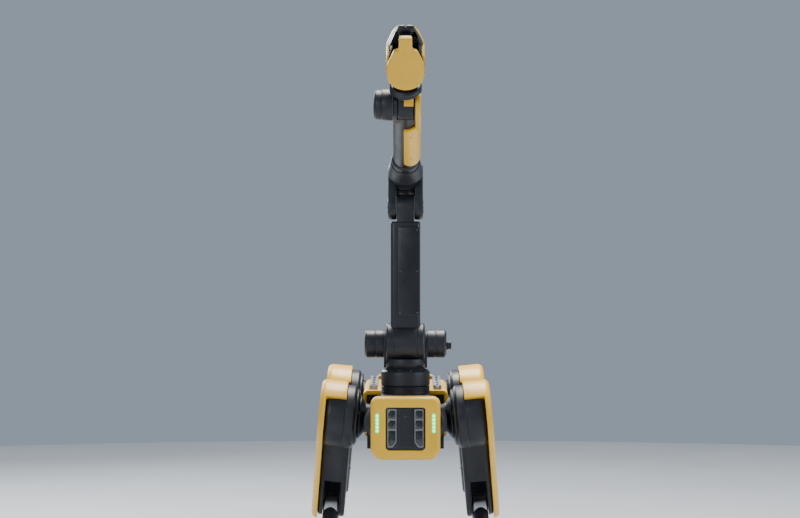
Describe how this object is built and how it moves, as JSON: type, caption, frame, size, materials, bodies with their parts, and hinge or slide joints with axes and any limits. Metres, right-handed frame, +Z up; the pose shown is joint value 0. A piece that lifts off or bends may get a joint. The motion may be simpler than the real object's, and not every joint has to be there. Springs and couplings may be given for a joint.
{
  "type": "quadruped robot with manipulator arm",
  "caption": "Four-legged walking robot with jointed legs, a box body and a raised arm that ends in a jaw gripper.",
  "frame": {"origin": "on the floor under the middle of the whole machine", "axes": "+Z up, the robot faces -Y, its left side is +X"},
  "size_m": [0.4974, 1.3316, 1.4888],
  "materials": {
    "shell_yellow": "satin moulded plastic",
    "body_black": "satin black",
    "cast_graphite": "powder coat",
    "bare_metal": "anodised",
    "foot_rubber": "matt rubber",
    "lens_glass": "polished dark window",
    "light_green": "glowing diffuser"
  },
  "bodies": {
    "chassis": {"chassis_frame": "cast_graphite", "hip_motor_front_left": "bare_metal", "hip_motor_front_right": "bare_metal", "hip_motor_rear_left": "bare_metal", "hip_motor_rear_right": "bare_metal", "front_bezel": "shell_yellow", "front_sensor_panel": "body_black", "sensor_window_left": "lens_glass", "sensor_window_right": "lens_glass", "led_strip_left": "light_green", "led_strip_right": "light_green", "body_shell_left": "shell_yellow", "body_shell_right": "shell_yellow", "payload_rail_left": "bare_metal", "payload_rail_right": "bare_metal", "top_deck": "body_black", "battery_pack": "body_black", "rear_cover": "shell_yellow", "rear_panel": "body_black", "rear_camera_window": "lens_glass", "arm_base_ring": "cast_graphite"},
    "power_button": {"power_button": "bare_metal"},
    "motor_lockout_button": {"motor_lockout_button": "bare_metal"},
    "hip_front_left": {"hip_link_front_left": "body_black"},
    "thigh_front_left": {"thigh_frame_front_left": "body_black", "thigh_cover_front_left": "shell_yellow"},
    "shank_front_left": {"shank_front_left": "body_black", "foot_front_left": "foot_rubber"},
    "hip_front_right": {"hip_link_front_right": "body_black"},
    "thigh_front_right": {"thigh_frame_front_right": "body_black", "thigh_cover_front_right": "shell_yellow"},
    "shank_front_right": {"shank_front_right": "body_black", "foot_front_right": "foot_rubber"},
    "hip_rear_left": {"hip_link_rear_left": "body_black"},
    "thigh_rear_left": {"thigh_frame_rear_left": "body_black", "thigh_cover_rear_left": "shell_yellow"},
    "shank_rear_left": {"shank_rear_left": "body_black", "foot_rear_left": "foot_rubber"},
    "hip_rear_right": {"hip_link_rear_right": "body_black"},
    "thigh_rear_right": {"thigh_frame_rear_right": "body_black", "thigh_cover_rear_right": "shell_yellow"},
    "shank_rear_right": {"shank_rear_right": "body_black", "foot_rear_right": "foot_rubber"},
    "turret": {"turret_column": "cast_graphite", "shoulder_motor_left": "body_black", "shoulder_motor_right": "body_black"},
    "upper_arm": {"upper_arm_frame": "body_black", "upper_arm_cover": "body_black"},
    "forearm_root": {"forearm_root": "body_black"},
    "forearm": {"forearm_tube": "body_black", "forearm_cover": "shell_yellow", "wrist_motor": "body_black"},
    "wrist": {"wrist_knuckle": "cast_graphite", "wrist_cover": "shell_yellow"},
    "palm": {"palm_frame": "body_black", "palm_cover": "shell_yellow", "palm_camera": "lens_glass"},
    "finger": {"finger_frame": "body_black", "finger_cover_left": "shell_yellow", "finger_cover_right": "shell_yellow"}
  },
  "joints": [
    {"name": "hip_abduction_front_left", "type": "hinge", "parent": "chassis", "child": "hip_front_left", "pos_m": [0.055, -0.1746, 0.53565], "axis": [0, -1, 0], "range_deg": [-25.5, 29.5]},
    {"name": "hip_pitch_front_left", "type": "hinge", "parent": "hip_front_left", "child": "thigh_front_left", "pos_m": [0.16549, -0.1746, 0.54629], "axis": [-0.9954, 0, -0.0958], "range_deg": [-75, 91.5]},
    {"name": "knee_front_left", "type": "hinge", "parent": "thigh_front_left", "child": "shank_front_left", "pos_m": [0.18902, 0.03141, 0.3019], "axis": [0.9954, 0, 0.0958], "range_deg": [-77.6, 62.8]},
    {"name": "hip_abduction_front_right", "type": "hinge", "parent": "chassis", "child": "hip_front_right", "pos_m": [-0.055, -0.1746, 0.53565], "axis": [0, 1, 0], "range_deg": [-25.5, 29.5]},
    {"name": "hip_pitch_front_right", "type": "hinge", "parent": "hip_front_right", "child": "thigh_front_right", "pos_m": [-0.16549, -0.1746, 0.54629], "axis": [-0.9954, 0, 0.0958], "range_deg": [-75, 91.5]},
    {"name": "knee_front_right", "type": "hinge", "parent": "thigh_front_right", "child": "shank_front_right", "pos_m": [-0.18902, 0.03141, 0.3019], "axis": [0.9954, 0, -0.0958], "range_deg": [-77.6, 62.8]},
    {"name": "hip_abduction_rear_left", "type": "hinge", "parent": "chassis", "child": "hip_rear_left", "pos_m": [0.055, 0.4214, 0.53565], "axis": [0, -1, 0], "range_deg": [-25.5, 29.5]},
    {"name": "hip_pitch_rear_left", "type": "hinge", "parent": "hip_rear_left", "child": "thigh_rear_left", "pos_m": [0.16549, 0.4214, 0.54629], "axis": [-0.9954, 0, -0.0958], "range_deg": [-88.5, 48]},
    {"name": "knee_rear_left", "type": "hinge", "parent": "thigh_rear_left", "child": "shank_rear_left", "pos_m": [0.18902, 0.62741, 0.3019], "axis": [0.9954, 0, 0.0958], "range_deg": [-77.6, 62.8]},
    {"name": "hip_abduction_rear_right", "type": "hinge", "parent": "chassis", "child": "hip_rear_right", "pos_m": [-0.055, 0.4214, 0.53565], "axis": [0, 1, 0], "range_deg": [-25.5, 29.5]},
    {"name": "hip_pitch_rear_right", "type": "hinge", "parent": "hip_rear_right", "child": "thigh_rear_right", "pos_m": [-0.16549, 0.4214, 0.54629], "axis": [-0.9954, 0, 0.0958], "range_deg": [-88.5, 48]},
    {"name": "knee_rear_right", "type": "hinge", "parent": "thigh_rear_right", "child": "shank_rear_right", "pos_m": [-0.18902, 0.62741, 0.3019], "axis": [0.9954, 0, -0.0958], "range_deg": [-77.6, 62.8]},
    {"name": "arm_yaw", "type": "hinge", "parent": "chassis", "child": "turret", "pos_m": [0, -0.1686, 0.53565], "axis": [0, 0, 1], "range_deg": [-150, 180]},
    {"name": "shoulder_pitch", "type": "hinge", "parent": "turret", "child": "upper_arm", "pos_m": [0, -0.1686, 0.72365], "axis": [1, 0, 0], "range_deg": [-90, 92]},
    {"name": "elbow", "type": "hinge", "parent": "upper_arm", "child": "forearm_root", "pos_m": [0, -0.1686, 1.06215], "axis": [-1, 0, 0], "range_deg": [-90, 64]},
    {"name": "forearm_roll", "type": "hinge", "parent": "forearm_root", "child": "forearm", "pos_m": [0, -0.13572, 1.12956], "axis": [0, -0.8988, 0.4384], "range_deg": [-160, 160]},
    {"name": "wrist_pitch", "type": "hinge", "parent": "forearm", "child": "wrist", "pos_m": [0, -0.49821, 1.30635], "axis": [1, 0, 0], "range_deg": [-60, 105]},
    {"name": "wrist_roll", "type": "hinge", "parent": "wrist", "child": "palm", "pos_m": [0, -0.49821, 1.30635], "axis": [0, -0.6428, 0.766], "range_deg": [-165, 165]},
    {"name": "gripper", "type": "hinge", "parent": "palm", "child": "finger", "pos_m": [0, -0.56207, 1.40549], "axis": [-1, 0, 0], "range_deg": [0, 90]},
    {"name": "power_button_press", "type": "slide", "parent": "chassis", "child": "power_button", "axis": [0, -1, 0], "range_m": [0, 0.003], "stiffness_N_per_m": 800, "springref_m": -0.0005},
    {"name": "motor_lockout_button_press", "type": "slide", "parent": "chassis", "child": "motor_lockout_button", "axis": [0, -1, 0], "range_m": [0, 0.003], "stiffness_N_per_m": 800, "springref_m": -0.0005}
  ]
}
